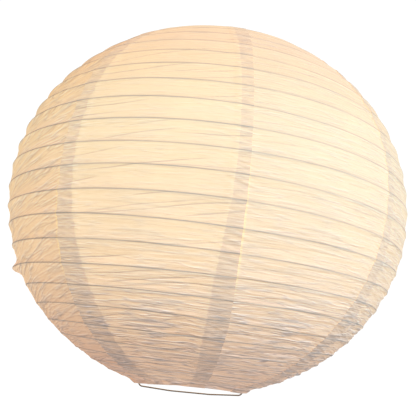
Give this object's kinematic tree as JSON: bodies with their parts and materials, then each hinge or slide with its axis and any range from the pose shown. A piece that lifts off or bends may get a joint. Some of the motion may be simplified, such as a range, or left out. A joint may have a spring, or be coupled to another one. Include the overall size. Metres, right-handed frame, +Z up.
{
  "type": "paper lantern",
  "caption": "Round crinkled paper lantern with a spiral rib and a sprung wire frame, hung by its lampholder and lit by a bulb, open at top and bottom.",
  "frame": {"origin": "mouth of the cord entry at the top of the cord grip, on the lantern's axis", "axes": "+Z up along the cord; the wire frame lies in the XZ plane; -Y is the front"},
  "size_m": [0.45, 0.45, 0.4312],
  "materials": {
    "paper": "crinkled translucent paper, lit from inside",
    "binding_paper": "folded and glued paper",
    "rib_wire": "thin plain wire",
    "ring_wire": "plain wire",
    "frame_wire": "drawn wire, slightly dull",
    "holder_plastic": "matte moulding",
    "contact_ceramic": "unglazed",
    "contact_brass": "pressed sheet",
    "terminal_steel": "plated",
    "bulb_cap_metal": "rolled and plated",
    "bulb_insulator": "black glass-like",
    "bulb_housing": "smooth white",
    "bulb_diffuser": "opal, lit",
    "led_board": "white-coated board"
  },
  "bodies": {
    "holder": {"cord_grip": "holder_plastic", "holder_cap": "holder_plastic", "holder_skirt": "holder_plastic", "contact_base": "contact_ceramic", "screw_shell": "contact_brass", "centre_contact": "contact_brass", "side_contact": "contact_brass", "terminal_screws": "terminal_steel"},
    "shade": {"lamp_ring": "frame_wire", "reducer_ring": "holder_plastic", "bridge_arms": "frame_wire", "spreader_bow": "frame_wire", "top_ring": "ring_wire", "top_binding": "binding_paper", "rib_spiral": "rib_wire", "paper_gore_1": "paper", "paper_gore_2": "paper", "paper_gore_3": "paper", "paper_gore_4": "paper", "paper_gore_5": "paper", "paper_gore_6": "paper", "paper_gore_7": "paper", "paper_gore_8": "paper"},
    "bottom_hoop": {"bottom_ring": "ring_wire", "bottom_binding": "binding_paper"},
    "ring_nut": {"shade_ring_nut": "holder_plastic"},
    "bulb_tip": {"bulb_tip_contact": "contact_brass"},
    "bulb": {"bulb_screw_shell": "bulb_cap_metal", "bulb_base_insulator": "bulb_insulator", "bulb_body": "bulb_housing", "bulb_globe": "bulb_diffuser", "bulb_led_board": "led_board"}
  },
  "joints": [
    {"name": "shade_lowers", "type": "slide", "parent": "holder", "child": "shade", "axis": [0, 0, -1], "range_m": [0, 0.02]},
    {"name": "ring_nut_unscrews", "type": "hinge", "parent": "shade", "child": "ring_nut", "pos_m": [0, 0, -0.06], "axis": [0, 0, -1], "range_deg": [0, 2880]},
    {"name": "shade_collapses", "type": "slide", "parent": "shade", "child": "bottom_hoop", "axis": [0, 0, 1], "range_m": [0, 0.3579], "deforming": ["paper_gore_1", "paper_gore_2", "paper_gore_3", "paper_gore_4", "paper_gore_5", "paper_gore_6", "paper_gore_7", "paper_gore_8", "rib_spiral"]},
    {"name": "bulb_lowers", "type": "slide", "parent": "holder", "child": "bulb_tip", "axis": [0, 0, -1], "range_m": [0, 0.0252]},
    {"name": "bulb_unscrews", "type": "hinge", "parent": "bulb_tip", "child": "bulb", "pos_m": [0, 0, -0.1], "axis": [0, 0, -1], "range_deg": [0, 2520]}
  ],
  "couplings": [
    {"joint": "ring_nut_unscrews", "follows": "shade_lowers", "rad_per_m": 2513.3},
    {"joint": "bulb_unscrews", "follows": "bulb_lowers", "rad_per_m": 1745.3}
  ]
}
